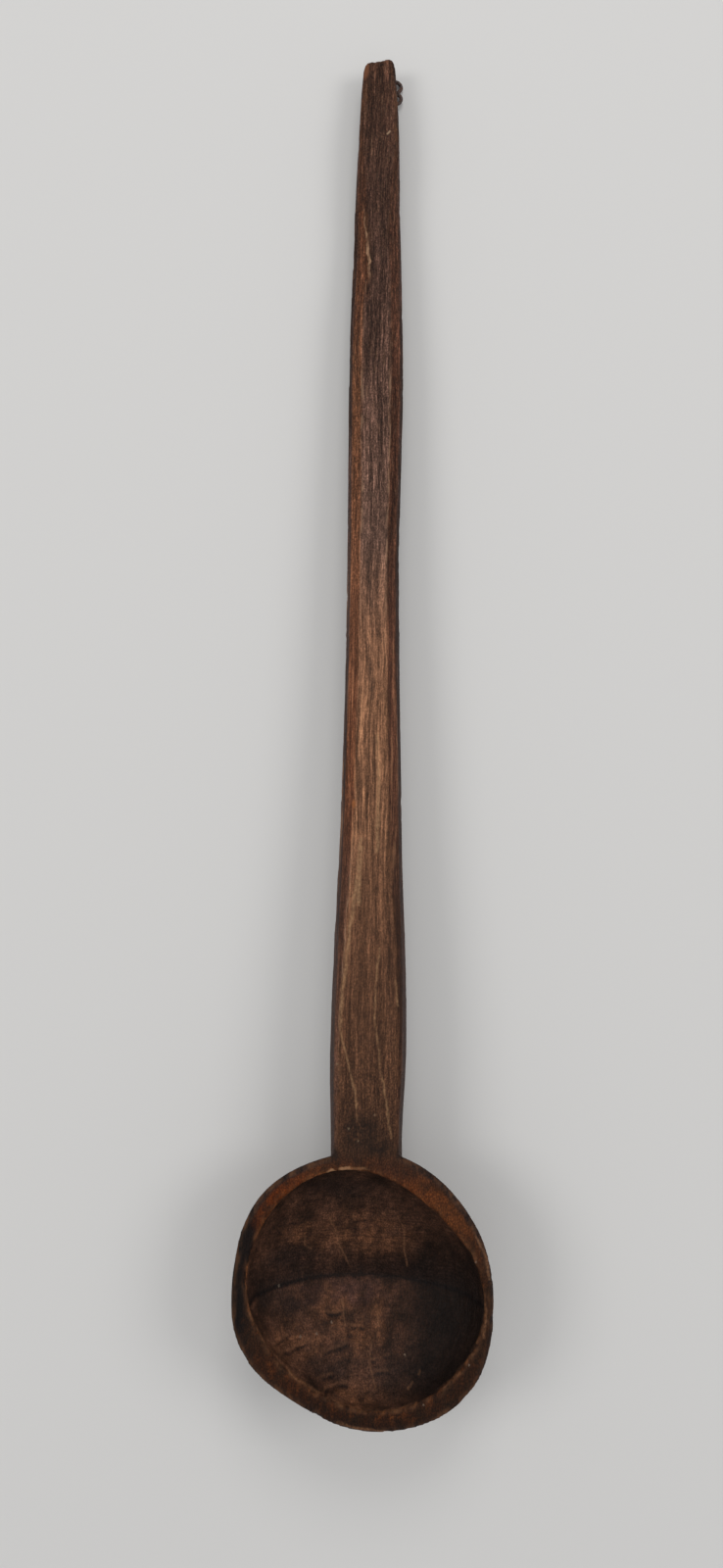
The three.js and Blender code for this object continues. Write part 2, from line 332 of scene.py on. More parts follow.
def drawn(bench, flat, lines, width):
    """Hand-drawn lines: they wander, and they are now stronger and now fainter."""
    moved = bench.wandering(flat, (6, 9, 6), 2.4)
    near = bench.least(*[bench.far_from(moved, line) for line in lines])
    faint = bench.fade(bench.noise(flat, (4, 7, 4), 4, 0.65), 0.34, 0.6, 0.25, 1.0)
    crumbled = bench.fade(bench.noise(flat, (0.9, 1.3, 0.9), 2, 0.6), 0.36, 0.6, 0.4, 1.0)
    return bench.product(bench.fade(near, width, 0.0), faint, crumbled)


def flecks(bench, flat, middles):
    """Small ragged specks."""
    ragged = bench.wandering(flat, (0.7, 0.7, 0.7), 1.4)
    return bench.spots(ragged, [(middle, (0.45, 0.5)) for middle in middles], 0.6)


# Trees and their sockets

def add_inputs(tree, inputs):
    for label, kind, value in inputs:
        socket = tree.interface.new_socket(label, in_out="INPUT", socket_type="NodeSocket" + kind)
        if value is not None:
            socket.default_value = value


def geometry_tree(name, inputs):
    """A geometry tree with named inputs. Returns the tree, its bench, its inputs and its output node."""
    tree = bpy.data.node_groups.new(name, "GeometryNodeTree")
    tree.is_modifier = True
    add_inputs(tree, [("Geometry", "Geometry", None), *inputs])
    tree.interface.new_socket("Geometry", in_out="OUTPUT", socket_type="NodeSocketGeometry")
    bench = Bench(tree)
    given = bench.add("NodeGroupInput").outputs
    return tree, bench, given, bench.add("NodeGroupOutput")


def effect(name, inputs, outputs):
    """A shader node group with named sockets. Returns the group, its bench, its inputs and its outputs."""
    tree = bpy.data.node_groups.new(name, "ShaderNodeTree")
    add_inputs(tree, inputs)
    for label, kind in outputs:
        tree.interface.new_socket(label, in_out="OUTPUT", socket_type="NodeSocket" + kind)
    bench = Bench(tree)
    return tree, bench, bench.add("NodeGroupInput").outputs, bench.add("NodeGroupOutput").inputs


def own_place(bench, given, vector):
    """Turns a place of the frame into the spoon's own axes."""
    from_mouth = bench.vector("SUBTRACT", vector, given["Mouth middle"])
    return own_direction(bench, given, bench.scaled(from_mouth, 1 / MILLIMETRE))


def own_direction(bench, given, vector):
    """Turns a direction of the frame into the spoon's own axes."""
    turned = {"Vector": vector, "Angle": given["Lay down"]}
    return bench.add("ShaderNodeVectorRotate", turned, rotation_type="X_AXIS").outputs[0]


def stored(bench, geometry, name, value, kind="FLOAT"):
    """The geometry with a value kept on its points under a name."""
    node = bench.add("GeometryNodeStoreNamedAttribute", data_type=kind, domain="POINT")
    for key, item in {"Geometry": geometry, "Name": name, "Value": value}.items():
        bench.put(item, next(s for s in node.inputs if s.name == key and s.enabled))
    return node.outputs["Geometry"]


def blurred(bench, value, rounds):
    node = bench.add("GeometryNodeBlurAttribute", {"Iterations": rounds}, data_type="FLOAT_VECTOR")
    bench.put(value, next(s for s in node.inputs if s.name == "Value" and s.enabled))
    return next(s for s in node.outputs if s.enabled)


def bulge(bench, rounds):
    """How far the surface stands out from its own surroundings, in millimetres."""
    place = bench.add("GeometryNodeInputPosition").outputs[0]
    normal = bench.add("GeometryNodeInputNormal").outputs[0]
    out = bench.vector("SUBTRACT", place, blurred(bench, place, rounds))
    return bench.calc("MULTIPLY", bench.vector("DOT_PRODUCT", out, normal), 1 / MILLIMETRE)


def finished(bench, shape, given, done):
    """The end of every geometry tree: made real, smooth, and with its material."""
    shape = bench.add("GeometryNodeRealizeInstances", {"Geometry": shape}).outputs[0]
    shape = bench.add("GeometryNodeSetShadeSmooth", {"Geometry": shape}).outputs[0]
    shape = bench.add("GeometryNodeSetMaterial", {"Geometry": shape, "Material": given["Finish"]}).outputs[0]
    bench.put(shape, done.inputs[0])


# Broad tones of the wood, before grain and marks

def tones_along(bench, y, stops):
    """A run of tones along the spoon, from places in millimetres."""
    first, last = stops[0][0], stops[-1][0]
    share = bench.add("ShaderNodeMapRange", {"Value": y, "From Min": first, "From Max": last}).outputs[0]
    run = bench.add("ShaderNodeValToRGB", {"Fac": share})
    elements = run.color_ramp.elements
    while len(elements) < len(stops):
        elements.new(0.5)
    for element, (place, colour) in zip(elements, stops):
        element.position = (place - first) / (last - first)
        element.color = colour
    return run.outputs["Color"]


def handle_tones(bench, place, flat, y, facing):
    """The handle's tone on its front, on each chamfer, and on its sides and back: painted light on the left
    chamfer, painted shade on the right chamfer, the sides and the back.
    """
    side, _, out = bench.parts(facing)
    front = tones_along(bench, y, [
        (66, tone(61, 39, 26)), (150, tone(89, 59, 41)), (275, tone(124, 86, 62)), (312, tone(115, 80, 59)),
        (360, tone(90, 66, 55)), (500, tone(73, 51, 42)), (618, tone(66, 43, 32)),
    ])
    left = tones_along(bench, y, [
        (66, tone(58, 38, 28)), (105, tone(82, 55, 42)), (190, tone(84, 54, 40)), (240, tone(97, 57, 37)),
        (355, tone(115, 73, 50)), (436, tone(117, 75, 51)), (505, tone(82, 50, 35)), (618, tone(68, 44, 33)),
    ])
    right = tones_along(bench, y, [
        (66, tone(49, 30, 21)), (170, tone(48, 29, 20)), (230, tone(72, 44, 31)), (280, tone(86, 53, 38)),
        (360, tone(76, 47, 34)), (436, tone(76, 46, 33)), (618, tone(60, 40, 30)),
    ])
    # Painted light on the left chamfer and painted shade on the right chamfer, over the wood's own tones
    # along the handle
    colour = bench.blend(bench.fade(side, -0.2, -0.4), front, left)
    colour = bench.blend(bench.fade(side, 0.2, 0.4), colour, right)
    shaded = bench.spot(flat, (13, 168), (5, 34), 0.6)
    colour = bench.blend(bench.product(shaded, 0.4), colour, tone(52, 33, 24))
    along, beside = splinter_scar(bench, place)
    scar = bench.product(along, bench.fade(beside, 0.3, -0.3), bench.fade(out, 0.4, 0.6))
    colour = bench.blend(scar, colour, tone(90, 55, 37))
    # Painted shade on the sides and the back
    return bench.blend(bench.fade(out, 0.66, 0.46), colour, tone(60, 43, 37))


def rim_tones(bench, place, flat, rounding, hollow):
    """The bowl's rim and its belly: warm near the handle, browner below, with a dark thumbed patch, painted
    shade on the rim's outer rounding and a painted highlight on the upper left of the mouth's edge.
    """
    x, y, z = bench.parts(place)
    colour = tones_along(bench, y, [
        (-62, tone(28, 13, 5)), (-38, tone(46, 22, 8)), (-10, tone(40, 23, 12)), (15, tone(53, 25, 8)),
        (45, tone(84, 36, 7)), (66, tone(62, 38, 23)),
    ])
    right = bench.blend(bench.fade(y, 8, 42), tone(38, 20, 9), tone(84, 48, 24))
    colour = bench.blend(bench.product(bench.fade(x, 0, 40), 0.7), colour, right)
    reddish = bench.fade(bench.noise(place, (4, 6, 4), 4, 0.65), 0.5, 0.68)
    colour = bench.blend(bench.product(reddish, 0.55), colour, tone(92, 48, 20))
    blotches = bench.fade(bench.noise(place, (7, 9, 7), 4, 0.65), 0.46, 0.64)
    colour = bench.blend(bench.product(blotches, 0.75), colour, tone(31, 19, 10))
    outward = bench.vector("DOT_PRODUCT", bench.vector("NORMALIZE", flat), rounding)
    # Painted shade on the rim's outer rounding, strongest on the upper half
    rounded = bench.product(
        bench.fade(outward, 0.15, 0.32), bench.fade(y, -40, 0, 0.5, 0.95), bench.fade(y, 66, 58))
    colour = bench.blend(rounded, colour, tone(30, 21, 18))
    smudge = bench.most(bench.spot(flat, (-56, 24), (7, 17), 0.5), bench.spot(flat, (-59, 0), (6, 26), 0.6))
    colour = bench.blend(bench.product(smudge, 0.95), colour, tone(11, 7, 6))
    shaded = bench.spots(flat, [((17, 59), (14, 7)), ((-8, 64), (9, 5))], 0.6)
    colour = bench.blend(bench.product(shaded, 0.55), colour, tone(40, 25, 18))
    scorched = bench.fade(bench.noise(place, (16, 22, 16), 4, 0.6), 0.4, 0.64)
    belly = bench.blend(scorched, tone(72, 48, 34), tone(40, 27, 20))
    below = bench.product(bench.fade(z, -5, -14), bench.fade(outward, 0.0, 0.2))
    colour = bench.blend(below, colour, belly)
    # Painted highlight on the upper left of the mouth's edge
    mouth_edge = bench.between(hollow, 0.04, 0.5, 0.04)
    wear_and_highlight = bench.product(mouth_edge, bench.fade(x, 4, -14), bench.fade(y, -14, -4))
    ragged = bench.fade(bench.noise(place, (3, 5, 3), 3, 0.6), 0.3, 0.6)
    return bench.blend(bench.product(wear_and_highlight, ragged, 0.7), colour, tone(118, 70, 38))


def hollow_tones(bench, place, flat, x, y):
    """Inside the bowl: painted shade and dirt in the valley, stains and painted shade in patches and down the
    right, painted shade under the neck, and warmer where it is scraped most.
    """
    patches = bench.fade(bench.noise(place, (11, 16, 11), 3, 0.55), 0.3, 0.7)
    colour = bench.blend(patches, tone(43, 28, 20), tone(85, 56, 42))
    scraped = bench.spots(flat, SCRAPED_BOWL, 0.7)
    warmth = bench.product(scraped, bench.fade(bench.noise(place, (5, 7, 5), 3, 0.6), 0.3, 0.65), 0.85)
    colour = bench.blend(warmth, colour, tone(108, 70, 48))
    uneven = bench.wandering(flat, (9, 9, 9), 7)
    # Stains, and painted shade below the valley, under the neck and at the lower right
    stained_and_shaded = bench.spots(uneven, STAINED_AND_SHADED_BOWL, 0.6)
    colour = bench.blend(bench.product(stained_and_shaded, 0.6), colour, tone(38, 28, 25))
    mauve = bench.product(bench.spot(uneven, (-9, -7), (16, 5), 0.7), 0.5)
    colour = bench.blend(mauve, colour, tone(76, 51, 48))
    mottled = bench.fade(bench.noise(place, (3.4, 4.4, 3.4), 4, 0.65), 0.42, 0.64)
    colour = bench.blend(bench.product(mottled, 0.5), colour, tone(33, 22, 16))
    shaded = bench.product(bench.fade(y, 34, 52), 0.5)
    colour = bench.blend(shaded, colour, tone(34, 23, 17))
    # Stain and painted shade down the right wall and the lower right of the hollow
    right_stain_and_shade = bench.product(bench.fade(x, 6, 34), bench.fade(y, 40, -10, 0.3, 0.92))
    colour = bench.blend(right_stain_and_shade, colour, tone(21, 15, 12))
    bow = bench.ramp(bench.calc("MULTIPLY", x, x), 0.0013, bench.calc("ADD", y, 0.3))
    ragged = bench.ramp(bench.noise(place, (6, 6, 20), 3, 0.6), 3.0, -1.5)
    valley = bench.calc("ADD", bow, ragged)
    # Painted shade on the slope just above the valley
    shade_above_valley = bench.product(bench.fade(bow, 18, 0), bench.fade(valley, -0.9, 0.5), 0.72)
    colour = bench.blend(shade_above_valley, colour, tone(30, 21, 18))
    # Painted shade with dirt along the valley's crease, stronger towards its ends
    valley_shade_and_dirt = bench.fade(bench.size_of(valley), 1.7, 0.2)
    valley_shade_and_dirt = bench.product(valley_shade_and_dirt, bench.fade(bench.size_of(x), 8, 40, 0.6, 0.95))
    return bench.blend(valley_shade_and_dirt, colour, tone(17, 12, 11))


def wood_tones(bench, place, facing, rounding, hollow):
    """The tones of bowl, handle and hollow, joined into one."""
    x, y, _ = bench.parts(place)
    flat = bench.flattened(place)
    bowl = rim_tones(bench, place, flat, rounding, hollow)
    colour = bench.blend(bench.fade(y, 60, 68), bowl, handle_tones(bench, place, flat, y, facing))
    return bench.blend(bench.fade(hollow, 0.3, 0.9), colour, hollow_tones(bench, place, flat, x, y))


# Geometry trees

def carving_tree():
    """Marks of knife, adze and gouge, splits, chips, a splinter's scar, and the wood's broad tones."""
    tree, bench, given, done = geometry_tree("hand_carving", [
        ("Mouth middle", "Vector", None),
        ("Lay down", "Float", 0.0),
        ("Wobble", "Float", 0.8),
        ("Knife cuts", "Float", 0.35),
        ("Belly cuts", "Float", 0.8),
        ("Gouge cuts", "Float", 0.45),
        ("Gouge strokes", "Float", 0.5),
        ("Stroke width", "Float", 2.6),
        ("Weather cracks", "Float", 0.4),
        ("Edge chips", "Float", 0.7),
        ("Splinter depth", "Float", 0.9),
        ("Seed", "Float", 3.0),
        ("Finish", "Material", None),
    ])
    normal = bench.add("GeometryNodeInputNormal").outputs[0]
    place = own_place(bench, given, bench.add("GeometryNodeInputPosition").outputs[0])
    facing = own_direction(bench, given, blurred(bench, normal, 3))
    skin = stored(bench, given["Geometry"], "facing", facing, "FLOAT_VECTOR")

    _, y, z = bench.parts(place)
    out = bench.parts(facing)[2]
    flat = bench.flattened(place)
    radius = bench.calc("MAXIMUM", bench.vector("LENGTH", flat), 4.0)
    outward = bench.calc("DIVIDE", bench.vector("DOT_PRODUCT", flat, facing), radius)
    opens = bench.calc("SUBTRACT", out, outward)
    hollow = bench.product(
        bench.fade(opens, 0.1, 0.6), bench.fade(z, -0.3, -1.6), bench.fade(radius, 63, 59))
    belly = bench.product(
        bench.fade(y, 74, 60), bench.fade(z, -1.5, -7), bench.fade(opens, 0.1, -0.5))
    handle = bench.fade(y, 58, 76)
    upper = bench.fade(y, 390, 520)
    front = bench.fade(out, 0.2, 0.6)
    skin = stored(bench, skin, "hollow", hollow)
    rounding = own_direction(bench, given, blurred(bench, normal, 12))
    skin = stored(bench, skin, "tone", wood_tones(bench, place, facing, rounding, hollow), "FLOAT_COLOR")

    seeded = bench.vector("ADD", place, bench.scaled((11.0, 23.0, 5.0), given["Seed"]))
    sway = bench.calc("SUBTRACT", bench.noise(seeded, HANDLE_SWAY, 2), 0.5)
    knife = bench.fade(bench.cells(seeded, KNIFE_CUT), 0.7, 0.0)
    adze = bench.fade(bench.cells(seeded, ADZE_CUT), 0.75, 0.0)
    gouge = bench.fade(bench.cells(seeded, GOUGE_CUT), 0.7, 0.0)
    strokes = drawn(bench, flat, GOUGE_STROKES, given["Stroke width"])
    crack = crack_pattern(bench, place)
    edge = bench.fade(bulge(bench, 8), 0.12, 0.5)
    along, beside = splinter_scar(bench, place)
    scoop = bench.product(along, bench.fade(beside, 0.6, -0.6), front)

    depth = bench.total(
        bench.product(bench.calc("MULTIPLY", sway, -1.0), given["Wobble"], handle),
        bench.product(bench.calc("SUBTRACT", knife, 0.5), given["Knife cuts"], handle),
        bench.product(adze, given["Belly cuts"], belly),
        bench.product(gouge, given["Gouge cuts"], hollow),
        bench.product(strokes, given["Gouge strokes"], hollow),
        bench.product(crack, given["Weather cracks"], bench.ramp(upper, 0.85, 0.15), handle),
        bench.product(edge, chip_pattern(bench, place), given["Edge chips"]),
        bench.product(scoop, given["Splinter depth"]),
    )
    # Nothing moves where the spoon rests, and nothing swells under the loop
    height = bench.parts(bench.add("GeometryNodeInputPosition").outputs[0])[2]
    rests = bench.fade(height, 0.5 * MILLIMETRE, 4 * MILLIMETRE)
    by_loop = bench.product(bench.fade(y, 575, 590), bench.fade(out, 0.3, -0.3))
    depth = bench.product(bench.calc("MAXIMUM", depth, bench.fade(by_loop, 0, 1, -0.5, 0.0)), rests)
    cut = bench.scaled(normal, bench.calc("MULTIPLY", depth, -MILLIMETRE))
    skin = bench.add("GeometryNodeSetPosition", {"Geometry": skin, "Offset": cut}).outputs[0]

    skin = stored(bench, skin, "worn", bench.fade(bulge(bench, 5), 0.04, 0.4))
    skin = stored(bench, skin, "sunk", bench.fade(bulge(bench, 14), -0.05, -0.6))
    finished(bench, skin, given, done)
    return tree


def rust_tree():
    """Pits eaten into a wire by rust."""
    tree, bench, given, done = geometry_tree("rust_pitting", [
        ("Pit size", "Float", 0.9),
        ("Pit depth", "Float", 0.12),
        ("Seed", "Float", 5.0),
        ("Finish", "Material", None),
    ])
    wire = bench.add("GeometryNodeSubdivideMesh", {"Mesh": given["Geometry"], "Level": 2}).outputs[0]
    place = bench.scaled(bench.add("GeometryNodeInputPosition").outputs[0], 1 / MILLIMETRE)
    seeded = bench.vector("ADD", place, bench.scaled((7.0, 3.0, 11.0), given["Seed"]))
    pits = bench.fade(bench.noise(seeded, given["Pit size"], 3, 0.6), 0.42, 0.66)
    wire = stored(bench, wire, "sunk", pits)
    wire = stored(bench, wire, "worn", bench.fade(pits, 0.3, 0.0))
    normal = bench.add("GeometryNodeInputNormal").outputs[0]
    cut = bench.scaled(normal, bench.product(pits, given["Pit depth"], -MILLIMETRE))
    wire = bench.add("GeometryNodeSetPosition", {"Geometry": wire, "Offset": cut}).outputs[0]
    finished(bench, wire, given, done)
    return tree


def fibre_tree():
    """Slivers of torn wood that stand up along the weathered front of the handle."""
    tree, bench, given, done = geometry_tree("loose_fibres", [
        ("Mouth middle", "Vector", None),
        ("Lay down", "Float", 0.0),
        ("Number per square metre", "Float", 26000.0),
        ("Length", "Float", 4.5),
        ("Thickness", "Float", 0.3),
        ("Seed", "Int", 7),
        ("Finish", "Material", None),
    ])

    def chance(low, high, seed_step):
        """A value for each sliver, by chance."""
        seed = bench.calc("ADD", given["Seed"], seed_step)
        draw = bench.add("FunctionNodeRandomValue", {"Seed": seed}, data_type="FLOAT").outputs[1]
        return bench.fade(draw, 0, 1, low, high)

    y = bench.parts(own_place(bench, given, bench.add("GeometryNodeInputPosition").outputs[0]))[1]
    out = bench.parts(own_direction(bench, given, bench.add("GeometryNodeInputNormal").outputs[0]))[2]
    here = bench.product(bench.between(y, 400, 600, 40), bench.fade(out, 0.6, 0.85))
    points = bench.add("GeometryNodeDistributePointsOnFaces", {
        "Mesh": given["Geometry"],
        "Density": bench.product(here, given["Number per square metre"]),
        "Seed": given["Seed"],
    }).outputs["Points"]
    sliver = bench.add("GeometryNodeMeshCone", {
        "Vertices": 5,
        "Radius Top": bench.calc("MULTIPLY", given["Thickness"], 0.1 * MILLIMETRE),
        "Radius Bottom": bench.calc("MULTIPLY", given["Thickness"], 0.5 * MILLIMETRE),
        "Depth": bench.calc("MULTIPLY", given["Length"], MILLIMETRE),
    }).outputs["Mesh"]
    flat_along = bench.calc("SUBTRACT", -math.pi / 2, given["Lay down"])
    raised = bench.calc("ADD", flat_along, chance(0.0, 0.12, seed_step=0))
    turned = chance(-0.12, 0.12, seed_step=14)
    angles = bench.add("ShaderNodeCombineXYZ", {0: raised, 1: 0.0, 2: turned}).outputs[0]
    slivers = bench.add("GeometryNodeInstanceOnPoints", {
        "Points": points,
        "Instance": sliver,
        "Rotation": bench.add("FunctionNodeEulerToRotation", {0: angles}).outputs[0],
        "Scale": chance(0.4, 1.3, seed_step=27),
    }).outputs[0]
    finished(bench, slivers, given, done)
    return tree


# Shader groups that more than one finish uses

def own_axes_group():
    tree, bench, _, done = effect("own_axes", [], [("Place", "Vector")])
    seen = bench.add("ShaderNodeTexCoord").outputs["Object"]
    mapping = bench.add("ShaderNodeMapping", {
        "Vector": seen,
        "Location": MOUTH_MIDDLE,
        "Rotation": (-LAY_DOWN, 0, 0),
        "Scale": (MILLIMETRE,) * 3,
    }, vector_type="TEXTURE")
    bench.put(mapping.outputs[0], done["Place"])
    return tree


def grain_group():
    """Grain along the spoon, each part from 0 to 1: streaks, fibres, grit, cuts across and pores."""
    names = ("Broad", "Narrow", "Fine", "Grit", "Cuts", "Pores")
    tree, bench, given, done = effect(
        "long_grain", [("Place", "Vector", None)], [(name, "Float") for name in names])
    place = given["Place"]
    bent = bench.calc("SUBTRACT", bench.noise(place, (30, 70, 30), 1), 0.5)
    x, y, z = bench.parts(place)
    swayed = bench.add("ShaderNodeCombineXYZ", {0: bench.ramp(bent, 6.0, x), 1: y, 2: z}).outputs[0]
    bench.put(bench.fade(bench.noise(swayed, (3.4, 110, 5), 2, 0.55), 0.3, 0.7), done["Broad"])
    bench.put(bench.fade(bench.noise(swayed, (1.1, 32, 1.4), 3, 0.6), 0.3, 0.7), done["Narrow"])
    bench.put(bench.fade(bench.noise(swayed, (0.6, 5, 0.7), 3, 0.65), 0.3, 0.7), done["Fine"])
    bench.put(bench.fade(bench.noise(place, (0.6, 1.0, 0.6), 2, 0.6), 0.3, 0.7), done["Grit"])
    bench.put(bench.fade(bench.noise(place, (6, 0.9, 6), 3, 0.65), 0.3, 0.7), done["Cuts"])
    bench.put(bench.fade(bench.noise(swayed, (0.6, 4.5, 0.7), 1, 0.5), 0.6, 0.72), done["Pores"])
    return tree


def patchy_group(name, attribute, size, detail, roughness, start, end):
    """An attribute of the mesh broken up by a pattern of the given size, which the Size input scales."""
    tree, bench, given, done = effect(
        name, [("Place", "Vector", None), ("Size", "Float", 1.0)], [("Mask", "Float")])
    kept = bench.add("ShaderNodeAttribute", attribute_name=attribute).outputs["Fac"]
    place = bench.vector("DIVIDE", given["Place"], given["Size"])
    broken = bench.fade(bench.noise(place, size, detail, roughness), start, end)
    bench.put(bench.product(kept, broken), done["Mask"])
    return tree


own_axes = own_axes_group()
long_grain = grain_group()
edge_wear = patchy_group("edge_wear", "worn", (4, 14, 4), 3, 0.6, 0.35, 0.7)
ground_in_dirt = patchy_group("ground_in_dirt", "sunk", (14, 20, 14), 4, 0.65, 0.35, 0.75)


# Finishes

def finish(name, **constants):
    """A material with one Principled shader. Returns the material, its bench and the shader."""
    material = bpy.data.materials.new(name)
    material.use_nodes = True
    bench = Bench(material.node_tree)
    shader = next(n for n in material.node_tree.nodes if n.type == "BSDF_PRINCIPLED")
    for socket, value in constants.items():
        shader.inputs[socket.replace("_", " ")].default_value = value
    return material, bench, shader


def grained(bench, colour, grain, y, hollow):
    """Streaks, fibres and pores: long on the lower handle, short towards the tip, cut across in the bowl."""
    handle = bench.fade(y, 60, 90)
    rough = bench.fade(y, *ROUGH_HANDLE)
    outside = bench.calc("SUBTRACT", 1.0, hollow)
    lively = bench.product(bench.between(y, 200, 335, 45), outside)
    streaky = bench.most(lively, bench.product(rough, bench.fade(y, 450, 550, 1.0, 0.3)))
    patchy = bench.fade(grain["Broad"], 0.2, 0.8)
    below = bench.product(hollow, bench.fade(y, 2, -6))
    gritty = bench.most(rough, bench.fade(y, 125, 100))
    strengths = {
        "Broad": bench.ramp(handle, bench.fade(y, 180, 260, 0.25, 0.5), 0.15),
        "Narrow": bench.ramp(streaky, 0.4, bench.ramp(handle, 0.28, 0.18)),
        "Fine": bench.ramp(bench.most(rough, below), 0.3, bench.ramp(handle, 0.3, 0.3)),
        "Grit": bench.ramp(gritty, 0.3, bench.fade(below, 0, 1, 0.45, 0.2)),
        "Cuts": bench.ramp(bench.product(hollow, patchy, bench.fade(y, -5, 5, 0.5, 1.0)), 0.45, 0.1),
    }
    octaves = 0.0
    for name, strength in strengths.items():
        octaves = bench.ramp(bench.ramp(grain[name], 2.0, -1.0), strength, octaves)
    colour = bench.tinted(colour, bench.calc("POWER", 2.0, octaves))
    pale = bench.product(bench.fade(grain["Narrow"], 0.55, 1.0), bench.fade(grain["Broad"], 0.3, 0.9), lively)
    colour = bench.blend(bench.product(pale, 0.5), colour, tone(156, 115, 80))
    pores = bench.product(grain["Pores"], bench.fade(rough, 0, 1, 0.15, 0.5))
    return bench.blend(pores, colour, tone(30, 21, 17))


def weathered(bench, colour, place, y, facing):
    """Wear of the handle: pale fibres, arrises and specks, splits, and the lip of the splinter's scar."""
    side, _, out = bench.parts(facing)
    front = bench.fade(out, 0.5, 0.7)
    upper = bench.fade(y, 310, 390)
    tip = bench.fade(y, 480, 540)
    fibres = bench.fade(bench.noise(place, (0.5, 9, 0.55), 3, 0.6), 0.56, 0.7)
    colour = bench.blend(bench.product(fibres, upper, front, 0.36), colour, tone(124, 96, 78))
    ragged = bench.fade(bench.noise(place, (2.2, 16, 2.2), 4, 0.7), 0.45, 0.62)
    shaky = bench.ramp(bench.noise(place, (9, 22, 9), 3, 0.6), 0.3, bench.calc("SUBTRACT", side, 0.15))
    edges = bench.most(bench.between(shaky, -0.3, -0.16, 0.06), bench.between(shaky, 0.16, 0.3, 0.06))
    edges = bench.product(edges, bench.between(y, 330, 470, 40))
    left_low = bench.product(bench.between(shaky, -0.34, -0.16, 0.08), bench.between(y, 110, 200, 20), 0.9)
    arris = bench.product(bench.most(edges, left_low), ragged, front, 0.7)
    colour = bench.blend(arris, colour, tone(150, 117, 92))
    specks = bench.product(bench.fade(bench.noise(place, (0.7, 1.6, 0.7), 1), 0.68, 0.78), tip, 0.6)
    colour = bench.blend(specks, colour, tone(126, 92, 66))
    splits = bench.product(crack_pattern(bench, place), bench.fade(y, 400, 530), 0.5)
    colour = bench.blend(splits, colour, tone(28, 19, 14))
    along, beside = splinter_scar(bench, place)
    torn = bench.fade(bench.noise(place, (3, 4, 3), 3, 0.6), 0.38, 0.6, 0.15, 1.0)
    thick = bench.fade(y, 536, 508, 0.2, 0.62)
    outer = bench.calc("ADD", thick, 0.3)
    inner = bench.calc("SUBTRACT", thick, 0.15)
    lip = bench.fade(bench.size_of(beside), outer, inner)
    lip = bench.product(lip, along, bench.fade(y, 493, 506), front, torn, 0.9)
    return bench.blend(lip, colour, tone(168, 130, 100))


def bowl_marks(bench, colour, place, flat, facing, hollow):
    """Fine cuts across the upper slope, gouge strokes and fine cuts in painted shade with a painted highlight
    on the ridge beside each stroke, pale scratches, chipped edges and specks.
    """
    x, y, _ = bench.parts(place)
    upward = bench.fade(bench.parts(facing)[2], 0.1, 0.5)
    cuts = bench.fade(bench.noise(place, (11, 0.9, 6), 3, 0.6), 0.52, 0.66)
    upper_slope = bench.product(bench.between(y, 12, 40, 7), bench.fade(bench.size_of(x), 40, 24), hollow)
    colour = bench.blend(bench.product(cuts, upper_slope, 0.5), colour, tone(30, 21, 17))
    # Painted highlight on the ridge beside each gouge stroke
    beside_strokes = bench.vector("ADD", flat, (0.4, -1.3, 0))
    lit_ridges = drawn(bench, beside_strokes, GOUGE_STROKES, 1.2)
    colour = bench.blend(bench.product(lit_ridges, hollow, 0.4), colour, tone(116, 79, 56))
    # Painted shade in the gouge strokes and fine cuts
    strokes = bench.clamped(bench.product(drawn(bench, flat, GOUGE_STROKES, 1.15), 1.6))
    shaded_cuts = bench.product(bench.most(strokes, drawn(bench, flat, FINE_BOWL_CUTS, 0.9)), hollow, 0.75)
    colour = bench.blend(shaded_cuts, colour, tone(22, 15, 13))
    scratched = bench.product(drawn(bench, flat, PALE_BOWL_SCRATCHES, 0.8), hollow, 0.5)
    colour = bench.blend(scratched, colour, tone(140, 98, 70))
    chipped = bench.product(drawn(bench, flat, PALE_BOWL_EDGES, 1.0), upward, 0.6)
    colour = bench.blend(chipped, colour, tone(138, 96, 66))
    specks = bench.product(flecks(bench, flat, PALE_BOWL_SPECKS), upward, 0.4)
    return bench.blend(specks, colour, tone(150, 130, 112))


def handle_marks(bench, colour, place, flat, facing):
    """Streaks and pale lines on the front of the handle, dirt in the neck, and a few chips and flecks."""
    front = bench.fade(bench.parts(facing)[2], 0.25, 0.55)
    ragged = bench.wandering(flat, (2.5, 2, 2), 2.4)
    faint_chip = bench.product(bench.spot(ragged, (-3, 57.5), (4, 0.8), 0.5), 0.35)
    mouth_edge = bench.most(bench.spots(ragged, CHIPPED_MOUTH, 0.4), faint_chip)
    fleck = bench.fade(bench.far_from(flat, PALE_TIP_FLECK), 0.75, 0.2)
    grime = bench.most(bench.spots(flat, GRIMY_NECK, 0.6), bench.spots(flat, GRIMY_CORNERS, 0.5))
    grime = bench.product(grime, bench.fade(bench.noise(place, (4, 5, 4), 4, 0.65), 0.34, 0.54))
    marks = (
        (drawn(bench, flat, DARK_HANDLE_STREAKS, 2.2), 0.65, tone(48, 38, 32)),
        (drawn(bench, flat, RUBBED_ARRIS, 1.5), 0.95, tone(154, 117, 84)),
        (drawn(bench, flat, PALE_HANDLE_LINES, 0.9), 0.65, tone(160, 121, 86)),
        (grime, 0.75, GRIME),
        (mouth_edge, 0.85, tone(156, 116, 84)),
        (bench.spot(flat, (-8, 228), (0.9, 1.9), 0.5), 1.0, tone(140, 86, 50)),
        (flecks(bench, flat, PALE_HANDLE_SPECKS), 0.35, tone(150, 126, 100)),
        (bench.spot(flat, (-8.4, 613), (2.4, 5)), 0.7, tone(122, 76, 52)),
        (fleck, 0.85, tone(160, 132, 106)),
    )
    for mask, strength, mark_tone in marks:
        colour = bench.blend(bench.product(mask, front, strength), colour, mark_tone)
    return colour


